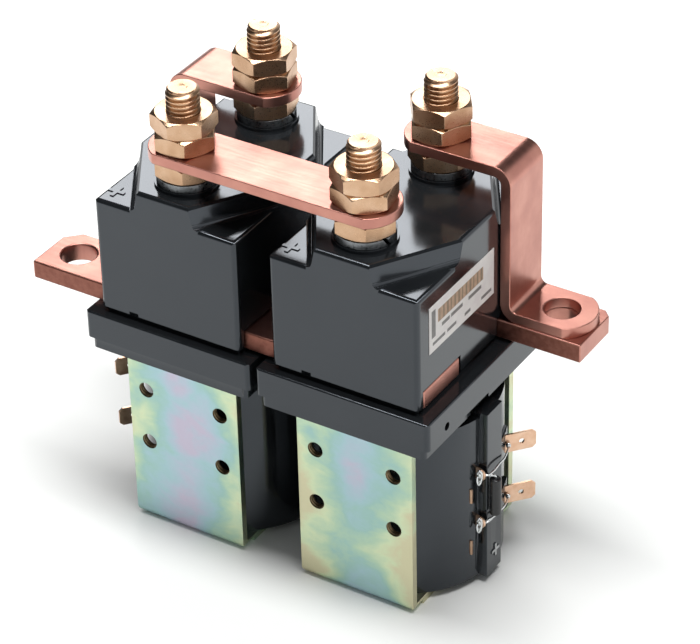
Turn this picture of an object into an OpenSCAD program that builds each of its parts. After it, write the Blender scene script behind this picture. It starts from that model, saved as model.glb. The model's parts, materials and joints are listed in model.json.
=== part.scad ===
// Paired changeover solenoid switch: two identical contactor units, side by side.
// Frame: X runs along the pair, -Y is the front, Z is up, z = 0 is the underside of the frames.

/* [Pair] */
// Gap between the trays of the two units, mm
unit_gap = 2; // [1:0.5:20]
// Distance from a unit's centre line to each terminal stud, mm
stud_y = 21; // [20.5:0.5:21.5]

/* [Steel frame] */
// Thickness of the frame sheet, mm
yoke_t = 2.5; // [2:0.25:3]
// Width of the frame plates, mm
yoke_w = 39; // [36:1:42]
// Distance between the outer faces of the two frame plates, mm
yoke_d = 60; // [59:0.5:62]
// Height of the room for the coil between the frame's foot and the pole plate, mm
coil_room = 57.8; // [54:0.2:70]
// Thickness of the pole plate, mm
pole_t = 3; // [2.5:0.25:4]
// Diameter of the tapped mounting holes in the front plate, mm
mount_hole_d = 5; // [4:0.1:6]
// Distance between the mounting holes across the plate, mm
mount_x = 26.5; // [22:0.5:28]
// Distance between the mounting holes up the plate, mm
mount_z = 19; // [16:0.5:24]
// Height of the middle of the mounting holes, mm
mount_mid = 39; // [34:0.5:42]

/* [Coil] */
// Wall of the coil's moulded jacket, mm
jacket_wall = 3; // [2.5:0.25:4]
// Inner diameter of the guide tube, mm
tube_id = 21; // [19:0.5:22]
// Wall of the guide tube, mm
tube_wall = 0.5; // [0.4:0.1:0.8]
// Play between the plunger and the guide tube on the radius, mm
plunger_play = 0.1; // [0.06:0.01:0.15]
// Distance that the plunger and the moving bridge travel, mm
travel = 3; // [2:0.25:3.5]
// Diameter of the push rod, mm
rod_d = 6; // [5:0.5:6.5]

/* [Housing] */
// Depth of the base tray along Y, mm
tray_y = 73; // [73:0.5:76]
// Height of the base tray, mm
tray_h = 12.8; // [12:0.2:16]
// Thickness of the tray's floor, mm
tray_floor = 4; // [3:0.2:5]
// Width of the cover along X, mm
cover_x = 49; // [48:0.5:50]
// Depth of the cover along Y, mm
cover_y = 68; // [67.5:0.25:69]
// Wall of the cover, mm
cover_wall = 3; // [2.6:0.1:3]
// Height of the cover's raised deck above the tray's rim, mm
deck_rise = 45.6; // [44:0.2:60]
// Height of the deck above the cut-down corners, mm
deck_step = 6.7; // [4:0.1:9]
// Half length of the deck's front and back edges, mm
deck_front = 8.9; // [8:0.1:10]
// Half length of the deck's side edges, mm
deck_side = 9; // [8:0.1:10]

/* [Terminals] */
// Thread diameter of the terminal studs, mm
stud_d = 10; // [8:0.5:10]
// Length of stud that stands above the lock nuts, mm
stud_free = 7.6; // [4:0.2:14]
// Nut width across the flats, mm
nut_af = 17; // [15:0.5:17.5]
// Nut height, mm
nut_h = 5.6; // [4:0.1:8]
// Thickness of the copper straps, mm
strap_t = 3.4; // [2:0.2:4]
// Width of the copper straps, mm
strap_w = 19; // [18:0.5:19.5]
// Thickness of the lower copper bars, mm
bar_t = 6; // [5:0.25:7]
// Width of the lower copper bars, mm
bar_w = 20; // [19:0.5:20]
// Distance from a unit's centre line to the hole at its strap's foot, mm
foot_reach = 40.2; // [39:0.2:46]
// Diameter of the holes for the customer's cables, mm
cable_hole_d = 11; // [9:0.5:11.5]
// Distance from that hole's centre to the end of the lower bar, mm
bar_end = 11.4; // [10:0.2:20]

/* [Hidden] */
$fn = 64;

// The coil fills the frame, and the widest part of the coil sets the width of a unit
jacket_play = 0.1;
jacket_flat = 1.4;
jacket_in = yoke_d / 2 - yoke_t - jacket_play - jacket_flat;
coil_d = 2 * (jacket_in + jacket_wall);
tray_x = coil_d;
unit_pitch = tray_x + unit_gap;
bar_reach = foot_reach + bar_end;
far = 3 * cover_y;

// Heights, stacked up from the frame's underside
pole_z0 = yoke_t + coil_room;
tray_z0 = pole_z0 + pole_t;
floor_z = tray_z0 + tray_floor;
tray_z1 = tray_z0 + tray_h;
bar_z0 = tray_z1 + 1;
bar_z1 = bar_z0 + bar_t;
shadow_gap = 1.9;
cover_z0 = tray_z1 + shadow_gap;
deck_z = tray_z1 + deck_rise;
corner_z = deck_z - deck_step;
collar_h = 0.9;
collar_z = deck_z + collar_h;
spring_washer_t = 2.4;
under_z = collar_z + spring_washer_t;
strap_z = under_z + nut_h;
clamp_z = strap_z + strap_t;
lock_z = clamp_z + nut_h;
free_z = lock_z + nut_h + 0.3;
stud_top = lock_z + nut_h + stud_free;

// Inside the nuts the thread is a plain cylinder of its pitch diameter
thread_pitch = 1.5;
shoulder_w = 15;
pitch_r = stud_d / 2 - 0.3248 * thread_pitch;

// The moving contact at rest, resting on the lower bars
tip_t = 1;
tip_d = 9;
tip_gap = 0.02;
bridge_t = 3;
bridge_w = 12;
bridge_z0 = bar_z1 + tip_t + tip_gap + tip_t;
bridge_z1 = bridge_z0 + bridge_t;
fixed_tip_z = bridge_z1 + tip_t + travel + tip_gap;
stud_foot_z = fixed_tip_z + tip_t;
carrier_z0 = floor_z + 2.2;
carrier_flange = 2;
carrier_d = rod_d + 2.4;
washer_t = 1.6;
rod_top = bridge_z1 + washer_t + 1.6;

// The magnetic circuit
tube_od = tube_id + 2 * tube_wall;
plunger_d = tube_id - 2 * plunger_play;
core_len = 14;
core_z = pole_z0 - core_len;
plunger_z0 = 1.2;
plunger_z1 = core_z - travel - 0.2;
neck_d = 14;

// The housing
roof_t = 4.5;
roof_z = deck_z - roof_t;
wall_roof_z = corner_z - 3;
skirt_inset = 1.2;
skirt_x = cover_x - 2 * skirt_inset;
skirt_y = cover_y - 2 * skirt_inset;
skirt_play = 0.15;
in_x = cover_x - 2 * cover_wall;
in_y = cover_y - 2 * cover_wall;
shoulder_h = 3;
shoulder_z = roof_z - shoulder_h;
shoulder_rib = 1.6;
slot_play = 0.5;
snap_y = 25.9;
snap_z = tray_z0 + 6.5;

// The coil's terminal side, in a unit's own frame: +X, in front of the back plate
blade_dir = 50;
blade_root = [coil_d / 2 - 1.2, 8.3];
blade_seat = 2.2;
blade_len = 10.7;
blade_h = 6.3;
blade_t = 0.8;
upper_blade_z = 38.1;
lower_blade_z = 19.2;
tab_x = coil_d / 2 - 1.8;
tab_y = -7;
upper_tab_z = 39;
lower_tab_z = 21.5;
strip_x = coil_d / 2 - 2;
strip_y = -9.9;
strip_h = 5;
strip_z = [31, 12];

// Screws of the tray and of the lower bars
screw_x = 14;
tray_screw_y = 6;

// Magnets in their pockets
magnet_t = 3;
magnet_l = 16.2;
magnet_h = 11.96;
pocket_rib = 1.2;

module at_unit(s) {
  translate([s * unit_pitch / 2, 0, 0]) children();
}

// The left unit's lower half is the right one's turned half round
module coil_side(s) {
  at_unit(s) rotate([0, 0, s > 0 ? 0 : 180]) children();
}

module rounded_rect(lx, ly, r) {
  square([lx - 2 * r, ly], center = true);
  square([lx, ly - 2 * r], center = true);
  for (sx = [-1, 1], sy = [-1, 1])
    translate([sx * (lx / 2 - r), sy * (ly / 2 - r)]) circle(r);
}

module arch(w, h, r) {
  translate([-w / 2, 0]) square([w, h - r]);
  translate([-w / 2 + r, 0]) square([w - 2 * r, h]);
  for (s = [-1, 1]) translate([s * (w / 2 - r), h - r]) circle(r);
}

// A block with rounded upright corners and a rounded top rim
module soft_block(lx, ly, z0, z1, rv, rt) {
  translate([0, 0, z0]) intersection() {
    linear_extrude(z1 - z0) rounded_rect(lx, ly, rv);
    rotate([90, 0, 0]) linear_extrude(ly + 2, center = true) arch(lx, z1 - z0, rt);
    rotate([90, 0, 90]) linear_extrude(lx + 2, center = true) arch(ly, z1 - z0, rt);
  }
}

deck_lean = 0.9;
cover_rim = 1.4;
deck_fillet = 1.5;
deck_angle = atan2(cover_x / 2 - deck_front, cover_y / 2 - deck_side);

// What is cut away outside one slanting side of the deck
module deck_cut() {
  translate([cover_x / 2, deck_side, 0]) rotate([0, 0, deck_angle]) rotate([90, 0, 0])
    linear_extrude(far, center = true) {
      difference() {
        polygon([[-0.7, deck_z + 1], [-0.7, deck_z], [0, deck_z - 0.7], [deck_lean, corner_z + 1],
          [deck_lean, corner_z - 3], [far, corner_z - 3], [far, deck_z + 1]]);
        translate([deck_lean - 0.1, corner_z - 4]) square([deck_fillet + 0.1, 4 + deck_fillet]);
      }
      intersection() {
        translate([deck_lean + deck_fillet, corner_z + deck_fillet]) circle(deck_fillet);
        translate([deck_lean, corner_z]) square([deck_fillet, deck_fillet]);
      }
    }
}

module four_ways() {
  for (mx = [0, 1], my = [0, 1]) mirror([mx, 0, 0]) mirror([0, my, 0]) children();
}

module cover_outside() {
  soft_block(cover_x, cover_y, cover_z0, corner_z, 1.6, cover_rim);
  difference() {
    soft_block(cover_x, cover_y, corner_z - 2, deck_z, 1.6, cover_rim);
    four_ways() deck_cut();
  }
  translate([0, 0, floor_z + 0.2]) linear_extrude(cover_z0 - floor_z) rounded_rect(skirt_x, skirt_y, 1.2);
  for (sy = [-1, 1]) translate([0, sy * stud_y, deck_z - 1]) cylinder(r = 9.6, h = 1 + collar_h);
  // Snap pips that hold the cover in the tray
  for (sx = [-1, 1], sy = [-1, 1])
    translate([sx * (skirt_x / 2 - 0.5), sy * snap_y, snap_z]) rotate([0, sx * 90, 0]) cylinder(r = 1.1, h = 1.5);
}

module plus_mark(size, w, h) {
  linear_extrude(h) {
    square([size, w], center = true);
    square([w, size], center = true);
  }
}

module cover_ribs() {
  // Rails beside the square shoulders of the studs, and the return spring's spigot
  for (sx = [-1, 1], sy = [-1, 1])
    translate([sx * (shoulder_w / 2 + 0.1 + shoulder_rib / 2) - shoulder_rib / 2, sy * stud_y - 5, shoulder_z + 0.5])
      cube([shoulder_rib, 10, roof_z - shoulder_z]);
  translate([0, 0, roof_z - 11]) difference() {
    cylinder(r = 4.8, h = 11.5);
    translate([0, 0, -1]) cylinder(r = rod_d / 2 + 0.4, h = 11);
  }
  // Pockets for the magnets on the side walls
  rib_y = magnet_l / 2 + 0.05 + pocket_rib / 2;
  for (sx = [-1, 1], sy = [-1, 1])
    translate([sx > 0 ? in_x / 2 - magnet_t - 0.2 : -in_x / 2 - 0.5, sy * stud_y, bar_z1]) {
      for (e = [-1, 1]) translate([0, e * rib_y - pocket_rib / 2, 1.5])
        cube([magnet_t + 0.7, pocket_rib, magnet_h + 1.04]);
      translate([0, -rib_y - pocket_rib / 2, magnet_h + 1.64])
        cube([magnet_t + 0.7, 2 * rib_y + pocket_rib, pocket_rib]);
    }
}

module cover_shape() {
  difference() {
    cover_outside();
    translate([0, 0, floor_z - 1]) linear_extrude(wall_roof_z - floor_z + 1) rounded_rect(in_x, in_y, 1);
    // The room under the deck follows its outline
    translate([0, 0, wall_roof_z - 1]) linear_extrude(roof_z - wall_roof_z + 1) intersection() {
      rounded_rect(in_x, in_y, 1);
      polygon([[6.2, in_y / 2], [in_x / 2, 6.2], [in_x / 2, -6.2], [6.2, -in_y / 2],
        [-6.2, -in_y / 2], [-in_x / 2, -6.2], [-in_x / 2, 6.2], [-6.2, in_y / 2]]);
    }
    for (sy = [-1, 1]) {
      translate([0, sy * stud_y, roof_z - 1]) cylinder(r = stud_d / 2 + 0.15, h = roof_t + collar_h + 2);
      // Openings for the lower bars in both side walls
      translate([-cover_x / 2 - 1, sy * stud_y - bar_w / 2 - slot_play, floor_z - 1])
        cube([cover_x + 2, bar_w + 2 * slot_play, bar_z1 + slot_play - floor_z + 1]);
    }
    // Pry notch in the front edge
    translate([-14.4, -cover_y / 2 - 1, cover_z0 - 1]) cube([3.2, 1.8, 2]);
  }
  cover_ribs();
  translate([-20.7, -27.6, corner_z - 0.5]) plus_mark(5.4, 1.2, 0.8);
}

lip_h = 3.6;

module tray_shape() {
  rail_w = bar_w - 1;
  difference() {
    union() {
      difference() {
        union() {
          soft_block(tray_x, tray_y, tray_z0 + lip_h, tray_z1, 1.6, 0.7);
          translate([0, 0, tray_z0]) linear_extrude(lip_h + 1) rounded_rect(tray_x - 3, tray_y - 1.2, 1.6);
        }
        translate([0, 0, floor_z])
          linear_extrude(tray_h) rounded_rect(skirt_x + 2 * skirt_play, skirt_y + 2 * skirt_play, 1.2);
      }
      // Rails that carry the lower bars
      for (sy = [-1, 1])
        translate([-skirt_x / 2 - 0.5, sy * stud_y - rail_w / 2, floor_z - 1])
          cube([skirt_x + 1, rail_w, bar_z0 - floor_z + 1]);
      // Guide boss for the push rod
      translate([0, 0, floor_z - 1]) cylinder(r = rod_d / 2 + 2.4, h = 2);
    }
    translate([0, 0, tray_z0 - 1]) cylinder(r = rod_d / 2 + 0.4, h = 12);
    for (sx = [-1, 1], sy = [-1, 1]) {
      translate([sx * screw_x, sy * tray_screw_y, tray_z0 - 1]) cylinder(r = 2.1, h = tray_floor + 2);
      translate([sx * screw_x, sy * stud_y, bar_z0 - 7]) cylinder(r = 2.02, h = 8);
      // Snap holes for the cover's pips
      translate([sx * (skirt_x / 2 - 1), sy * snap_y, snap_z]) rotate([0, sx * 90, 0])
        cylinder(r = 1.3, h = tray_x / 2 - skirt_x / 2 + 3);
    }
    // Cut-out in the lip above the coil's terminal bar
    translate([tray_x / 2 - 2.6, -10, tray_z0 - 1]) cube([4, 10.6, 3.7]);
  }
}

yoke_bend = 0.6;

module yoke_shape() {
  h = tray_z0;
  difference() {
    rotate([90, 0, 90]) linear_extrude(yoke_w, center = true) difference() {
      mirror([0, 1]) translate([0, -h]) arch(yoke_d, h, yoke_t + yoke_bend);
      mirror([0, 1]) translate([0, -h - 1]) arch(yoke_d - 2 * yoke_t, h - yoke_t + 1, yoke_bend);
    }
    // Chamfers on the feet of the plates
    for (sx = [-1, 1], sy = [-1, 1])
      translate([sx * yoke_w / 2, sy * yoke_d / 2, 0]) rotate([0, 45, 0]) cube([2.4, 12, 2.4], center = true);
    // Bore that holds the guide tube's foot
    translate([0, 0, -1]) cylinder(r = tube_od / 2 + 0.03, h = yoke_t + 2);
    for (sx = [-1, 1], sz = [-1, 1])
      translate([sx * mount_x / 2, -yoke_d / 2 - 1, mount_mid + sz * mount_z / 2]) rotate([-90, 0, 0])
        cylinder(r = mount_hole_d / 2, h = yoke_t + 2);
    // Notches for the pole plate's tongues
    for (sx = [-1, 1], sy = [-1, 1])
      translate([sx * 12 - 4.05, sy > 0 ? yoke_d / 2 - yoke_t - 1 : -yoke_d / 2 - 1, pole_z0 - 0.02])
        cube([8.1, yoke_t + 2, pole_t + 2]);
  }
}

module pole_plate_shape() {
  difference() {
    translate([0, 0, pole_z0]) union() {
      translate([-yoke_w / 2, -yoke_d / 2 + yoke_t + 0.03, 0]) cube([yoke_w, yoke_d - 2 * yoke_t - 0.06, pole_t]);
      for (sx = [-1, 1])
        translate([sx * 12 - 4, -yoke_d / 2, 0]) cube([8, yoke_d, pole_t]);
    }
    translate([0, 0, pole_z0 - 1]) cylinder(r = neck_d / 2 + 0.02, h = pole_t + 2);
    for (sx = [-1, 1], sy = [-1, 1])
      translate([sx * screw_x, sy * tray_screw_y, pole_z0 - 1]) cylinder(r = 2.02, h = pole_t + 2);
  }
}

module pole_core_shape() {
  rotate_extrude() polygon([[rod_d / 2 + 0.3, core_z], [plunger_d / 2 - 0.8, core_z],
    [plunger_d / 2, core_z + 0.8], [plunger_d / 2, pole_z0 - 0.02], [neck_d / 2, pole_z0 - 0.02],
    [neck_d / 2, tray_z0 - 0.02], [rod_d / 2 + 0.3, tray_z0 - 0.02]]);
}

module guide_tube_shape() {
  translate([0, 0, 0.3]) difference() {
    cylinder(r = tube_od / 2, h = pole_z0 - 0.32);
    translate([0, 0, -1]) cylinder(r = tube_id / 2, h = pole_z0 + 2);
  }
}

bobbin_in = tube_od / 2 + 0.1;
bobbin_out = bobbin_in + 1.2;

module bobbin_shape() {
  z0 = yoke_t + 0.02;
  z1 = pole_z0 - 0.04;
  rotate_extrude() polygon([[bobbin_in, z0], [jacket_in - 0.02, z0], [jacket_in - 0.02, z0 + 2],
    [bobbin_out, z0 + 2], [bobbin_out, z1 - 2], [jacket_in - 0.02, z1 - 2], [jacket_in - 0.02, z1],
    [bobbin_in, z1]]);
}

module winding_shape() {
  translate([0, 0, yoke_t + 2.06]) difference() {
    cylinder(r = jacket_in - 0.02, h = coil_room - 4.14);
    translate([0, 0, -1]) cylinder(r = bobbin_out + 0.02, h = coil_room);
  }
}

// The slot that a blade stands in, open towards the blade's tip
module blade_slot(c) {
  translate([blade_root[0], blade_root[1], -c]) rotate([0, 0, blade_dir])
    translate([-blade_seat - c, -blade_t / 2 - c, 0]) cube([blade_seat + blade_len, blade_t + 2 * c, blade_h + 2 * c]);
}

module blade_shape() {
  translate([blade_root[0], blade_root[1], 0]) rotate([0, 0, blade_dir]) rotate([90, 0, 0])
    linear_extrude(blade_t, center = true) difference() {
      polygon([[-blade_seat, 0], [blade_len - 1.2, 0], [blade_len, 1], [blade_len, blade_h - 1],
        [blade_len - 1.2, blade_h], [-blade_seat, blade_h]]);
      translate([blade_len - 4.6, blade_h / 2]) circle(0.85);
    }
}

// The slot of a solder tab, which stands out of the jacket in front of the terminal bar
module tab_slot(c) {
  translate([tab_x, tab_y, 0]) rotate([0, 0, -12]) translate([-2 - c, -0.35 - c, -c])
    cube([5, 0.7 + 2 * c, 4 + 2 * c]);
}

module solder_tab() {
  translate([tab_x, tab_y, 0]) rotate([0, 0, -12]) rotate([90, 0, 0])
    linear_extrude(0.7, center = true) difference() {
      union() {
        translate([-2, 0]) square([4.2, 4]);
        translate([2.2, 2]) circle(2);
      }
      translate([2.2, 2]) circle(0.9);
    }
}

terminal_bar_y = [-6.2, 2.5];
terminal_bar_rise = 2;
terminal_bar_h = tray_z0 - 1.5 - yoke_t;

// Side view of the jacket between the frame's plates, with its lower edges clear of the bends
module jacket_side() {
  hy = yoke_d / 2 - yoke_t - jacket_play;
  c = yoke_bend + 0.2;
  polygon([[-hy, c], [-hy + c, 0], [hy - c, 0], [hy, c], [hy, coil_room - 0.06], [-hy, coil_room - 0.06]]);
}

module coil_jacket_shape() {
  difference() {
    union() {
      translate([0, 0, yoke_t + 0.02]) {
        intersection() {
          cylinder(r = coil_d / 2, h = coil_room - 0.06);
          rotate([90, 0, 90]) linear_extrude(far, center = true) jacket_side();
        }
        // Terminal bar, with its mark
        translate([coil_d / 2 - 3, terminal_bar_y[0], 0])
          cube([3 + terminal_bar_rise, terminal_bar_y[1] - terminal_bar_y[0], terminal_bar_h]);
        translate([coil_d / 2 + terminal_bar_rise - 0.2, -1.2, 7.2]) rotate([90, 0, 90]) plus_mark(4.4, 0.9, 0.5);
      }
      // Wedge that backs the blades
      for (z = [upper_blade_z, lower_blade_z])
        translate([0, 0, z - 1.4]) intersection() {
          cylinder(r = coil_d / 2 + 1, h = blade_h + 2.8);
          translate([coil_d / 2 - 7, 2.4, -1]) cube([12, 9.4, blade_h + 5]);
        }
    }
    cylinder(r = jacket_in, h = far, center = true);
    for (z = [upper_blade_z, lower_blade_z]) translate([0, 0, z]) blade_slot(0.03);
    for (z = [upper_tab_z, lower_tab_z]) translate([0, 0, z]) tab_slot(0.03);
    for (z = strip_z) translate([strip_x, strip_y, z - 0.03]) cube([4, 0.86, strip_h + 0.06]);
  }
}

module coil_terminals_shape() {
  for (z = [upper_blade_z, lower_blade_z]) translate([0, 0, z]) blade_shape();
  for (z = [upper_tab_z, lower_tab_z]) translate([0, 0, z]) solder_tab();
  for (z = strip_z) translate([strip_x + 0.02, strip_y + 0.03, z]) cube([0.98, 0.8, strip_h]);
}

supp_d = 3.6;
supp_len = 13;
supp_x = coil_d / 2 + terminal_bar_rise + 0.3 + supp_d / 2;
supp_y = -4.9;
supp_z = 26.4;

// A lead from the suppressor's end up or down to the level of a solder tab's eye, and across into it
module supp_lead(z_end, z_eye) {
  r = 0.4;
  d = [tab_x + 2.15 - supp_x, tab_y - 0.45 - supp_y];
  z_low = min(z_end, z_eye);
  translate([supp_x, supp_y, z_low]) cylinder(r = r, h = abs(z_eye - z_end));
  translate([supp_x, supp_y, z_eye]) {
    sphere(r);
    rotate([0, 90, atan2(d[1], d[0])]) cylinder(r = r, h = norm(d) + 0.6);
  }
}

module suppressor_shape() {
  union() {
    translate([supp_x, supp_y, supp_z]) rotate_extrude() polygon([[0, 0], [supp_d / 2 - 0.6, 0],
      [supp_d / 2, 0.6], [supp_d / 2, supp_len - 0.6], [supp_d / 2 - 0.6, supp_len], [0, supp_len]]);
    supp_lead(supp_z + supp_len - 0.5, upper_tab_z + 2);
    supp_lead(supp_z + 0.5, lower_tab_z + 2);
  }
}

module plunger_shape() {
  difference() {
    rotate_extrude() polygon([[0, plunger_z0], [plunger_d / 2 - 1, plunger_z0], [plunger_d / 2, plunger_z0 + 1],
      [plunger_d / 2, plunger_z1 - 0.8], [plunger_d / 2 - 0.8, plunger_z1], [0, plunger_z1]]);
    translate([0, 0, plunger_z1 - 14]) cylinder(r = rod_d / 2 + 0.01, h = 20);
  }
}

module push_rod_shape() {
  head_z = rod_top - 1.55;
  rotate_extrude() polygon([[0, plunger_z1 - 13.9], [rod_d / 2, plunger_z1 - 13.9], [rod_d / 2, head_z],
    [rod_d / 2 + 1.6, head_z], [rod_d / 2 + 1.6, head_z + 0.7], [rod_d / 2 + 0.6, rod_top], [0, rod_top]]);
}

// Insulating bush: a flange for the contact spring and a sleeve through the bridge
module carrier_shape() {
  bore = rod_d / 2 + 0.02;
  rotate_extrude() polygon([[bore, carrier_z0], [8, carrier_z0], [8, carrier_z0 + carrier_flange],
    [carrier_d / 2, carrier_z0 + carrier_flange], [carrier_d / 2, bridge_z1], [bore, bridge_z1]]);
}

module bridge_shape() {
  len = 2 * stud_y + 11;
  translate([0, 0, bridge_z0]) difference() {
    linear_extrude(bridge_t) difference() {
      rounded_rect(bridge_w, len, 2);
      circle(carrier_d / 2 + 0.1);
    }
  }
}

module bridge_tips_shape() {
  for (sy = [-1, 1]) translate([0, sy * stud_y, 0]) {
    translate([0, 0, bridge_z1]) cylinder(r = tip_d / 2, h = tip_t);
    translate([0, 0, bridge_z0 - tip_t]) cylinder(r = tip_d / 2, h = tip_t);
  }
}

// A closed-end compression spring swept along its coil
module coil_spring(mean_r, wire, z0, len, turns) {
  seg = 20;
  ns = 6;
  n = turns * seg;
  dead = wire * 1.06;
  rise = len - wire - 2 * dead;
  pts = [for (i = [0:n])
    let (a = 360 * i / seg,
      z = i < seg ? dead * i / seg : i > n - seg ? dead + rise + dead * (i - n + seg) / seg
        : dead + rise * (i - seg) / (n - 2 * seg))
    for (j = [0:ns - 1])
      let (b = 360 * j / ns + 30, rr = mean_r + wire / 2 * cos(b))
      [rr * cos(a), rr * sin(a), z0 + wire / 2 + z + wire / 2 * sin(b)]];
  cap0 = [[for (j = [0:ns - 1]) j]];
  cap1 = [[for (j = [0:ns - 1]) n * ns + ns - 1 - j]];
  walls = [for (i = [0:n - 1], j = [0:ns - 1], t = [0, 1])
    let (p = i * ns + j, q = i * ns + (j + 1) % ns)
    t == 0 ? [p, p + ns, q + ns] : [p, q + ns, q]];
  polyhedron(points = pts, faces = concat(cap0, walls, cap1), convexity = 12);
}

module contact_spring_shape() {
  z0 = carrier_z0 + carrier_flange + 0.02;
  coil_spring(carrier_d / 2 + 1.3, 1.1, z0, bridge_z0 - z0 - 0.02, 5);
}

module top_washer_shape() {
  translate([0, 0, bridge_z1 + 0.02]) difference() {
    cylinder(r = 8, h = washer_t);
    translate([0, 0, -1]) cylinder(r = rod_d / 2 + 0.02, h = washer_t + 2);
  }
}

module return_spring_shape() {
  z0 = bridge_z1 + washer_t + 0.04;
  coil_spring(6.3, 1, z0, roof_z - z0 - 0.02, 9);
}

module stud_shape(sy) {
  r = stud_d / 2;
  translate([0, sy * stud_y, 0]) {
    rotate_extrude() polygon([[0, stud_foot_z], [6, stud_foot_z], [6, shoulder_z + 1], [r, shoulder_z + 1],
      [r, under_z], [pitch_r, under_z], [pitch_r, strap_z], [r, strap_z], [r, clamp_z], [pitch_r, clamp_z],
      [pitch_r, free_z], [r, free_z], [r, stud_top - 1.1], [r - 1.1, stud_top], [0.9, stud_top],
      [0, stud_top - 0.7]]);
    translate([0, 0, shoulder_z]) linear_extrude(shoulder_h) intersection() {
      circle(9);
      square([shoulder_w, far], center = true);
    }
  }
}

module fixed_tips_shape() {
  for (sy = [-1, 1]) translate([0, sy * stud_y, 0]) {
    translate([0, 0, fixed_tip_z]) cylinder(r = tip_d / 2, h = tip_t);
    translate([0, 0, bar_z1]) cylinder(r = tip_d / 2, h = tip_t);
  }
}

module magnets_shape() {
  for (sx = [-1, 1], sy = [-1, 1])
    translate([sx > 0 ? in_x / 2 - magnet_t - 0.02 : -in_x / 2 + 0.02, sy * stud_y - magnet_l / 2, bar_z1 + 1.6])
      cube([magnet_t, magnet_l, magnet_h]);
}

module tray_screws_shape() {
  for (sx = [-1, 1], sy = [-1, 1]) translate([sx * screw_x, sy * tray_screw_y, 0]) difference() {
    union() {
      translate([0, 0, pole_z0 + 0.2]) cylinder(r = 2, h = floor_z - pole_z0);
      translate([0, 0, floor_z]) cylinder(r = 3.5, h = 2.4);
    }
    translate([0, 0, floor_z + 1.6]) for (a = [0, 90]) rotate([0, 0, a]) cube([4, 0.9, 2], center = true);
  }
}

module bar_screws_shape() {
  for (sx = [-1, 1], sy = [-1, 1]) translate([sx * screw_x, sy * stud_y, 0]) difference() {
    rotate_extrude() polygon([[0, bar_z0 - 6.8], [2, bar_z0 - 6.8], [2, bar_z1 - 2.2], [4, bar_z1 - 0.2],
      [4, bar_z1 - 0.02], [0, bar_z1 - 0.02]]);
    translate([0, 0, bar_z1 - 0.4]) for (a = [0, 90]) rotate([0, 0, a]) cube([4, 0.8, 1.6], center = true);
  }
}

module bar_screw_hole() {
  translate([0, 0, bar_z0]) rotate_extrude() polygon([[0, -1], [2.2, -1], [2.2, bar_t - 2.1], [4.1, bar_t - 0.2],
    [4.1, bar_t + 1], [0, bar_t + 1]]);
}

// Nuts: a hexagon between two chamfer cones, with a countersunk bore
module nut(af, h, turn) {
  ac = af / cos(30) / 2;
  c = (ac - af / 2 * 0.98) * 0.5;
  bore = pitch_r + 0.02;
  rim = stud_d / 2 + 0.2;
  difference() {
    intersection() {
      rotate([0, 0, turn]) cylinder(r = ac, h = h, $fn = 6);
      rotate_extrude() polygon([[0, 0], [ac - c * 2, 0], [ac + 0.02, c * 1.2], [ac + 0.02, h - c * 1.2],
        [ac - c * 2, h], [0, h]]);
    }
    rotate_extrude() polygon([[0, -1], [rim, -1], [rim, 0], [bore, rim - bore], [bore, h - rim + bore],
      [rim, h], [rim, h + 1], [0, h + 1]]);
  }
}

// The studs' places in the order left front, left back, right front, right back
module at_stud(i) {
  translate([(i < 2 ? -1 : 1) * unit_pitch / 2, (i % 2 == 0 ? -1 : 1) * stud_y, 0]) children();
}

// Four nuts at one height, each with its own turn about its stud
module nut_set(z, turns) {
  for (i = [0:3]) at_stud(i) translate([0, 0, z]) nut(nut_af, nut_h, turns[i]);
}

module spring_washer_shape(turn) {
  difference() {
    cylinder(r = stud_d / 2 + 3.9, h = spring_washer_t);
    translate([0, 0, -1]) cylinder(r = stud_d / 2 + 0.3, h = spring_washer_t + 2);
    rotate([0, 0, turn]) translate([5, 0, spring_washer_t / 2]) rotate([35, 0, 0]) translate([0, 0, -5])
      translate([-2, -0.5, 0]) cube([10, 1, 10]);
  }
}

// A lower bar from x0 to x1, with the far back corner of the end that side names cut off
module lower_bar(x0, x1, side, leg) {
  difference() {
    translate([x0, -bar_w / 2, bar_z0]) cube([x1 - x0, bar_w, bar_t]);
    translate([side > 0 ? x1 : x0, bar_w / 2, bar_z0 + bar_t / 2]) rotate([0, 0, 45])
      cube([leg * sqrt(2), leg * sqrt(2), bar_t + 2], center = true);
  }
}

front_hole_shift = 1.5;

module front_bar_shape() {
  difference() {
    translate([0, -stud_y, 0]) lower_bar(-unit_pitch / 2 - bar_reach, unit_pitch / 2 + cover_x / 2, -1, 4.6);
    translate([-unit_pitch / 2 - foot_reach - front_hole_shift, -stud_y, bar_z0 - 1])
      cylinder(r = cable_hole_d / 2, h = bar_t + 2);
    for (s = [-1, 1], sx = [-1, 1]) at_unit(s) translate([sx * screw_x, -stud_y, 0]) bar_screw_hole();
  }
}

module back_bar_shape(s) {
  x_in = unit_pitch / 2 - cover_x / 2;
  x_out = unit_pitch / 2 + bar_reach;
  difference() {
    translate([0, stud_y, 0]) lower_bar(s > 0 ? x_in : -x_out, s > 0 ? x_out : -x_in, s, 2.3);
    translate([s * (unit_pitch / 2 + foot_reach), stud_y, bar_z0 - 1]) cylinder(r = cable_hole_d / 2, h = bar_t + 2);
    for (sx = [-1, 1]) at_unit(s) translate([sx * screw_x, stud_y, 0]) bar_screw_hole();
  }
}

strap_end_r = strap_w / 2 + 1.3;

// The end of a strap beyond its hole, on the side s: an arc between the strap's edges
module strap_end(s) {
  intersection() {
    circle(strap_end_r);
    translate([s > 0 ? 0 : -strap_end_r, -strap_w / 2]) square([strap_end_r, strap_w]);
  }
}

module link_bar_shape() {
  translate([0, -stud_y, strap_z]) linear_extrude(strap_t) difference() {
    union() {
      square([unit_pitch, strap_w], center = true);
      for (s = [-1, 1]) translate([s * unit_pitch / 2, 0]) strap_end(s);
    }
    for (s = [-1, 1]) translate([s * unit_pitch / 2, 0]) circle(stud_d / 2 + 0.25);
  }
}

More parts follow.
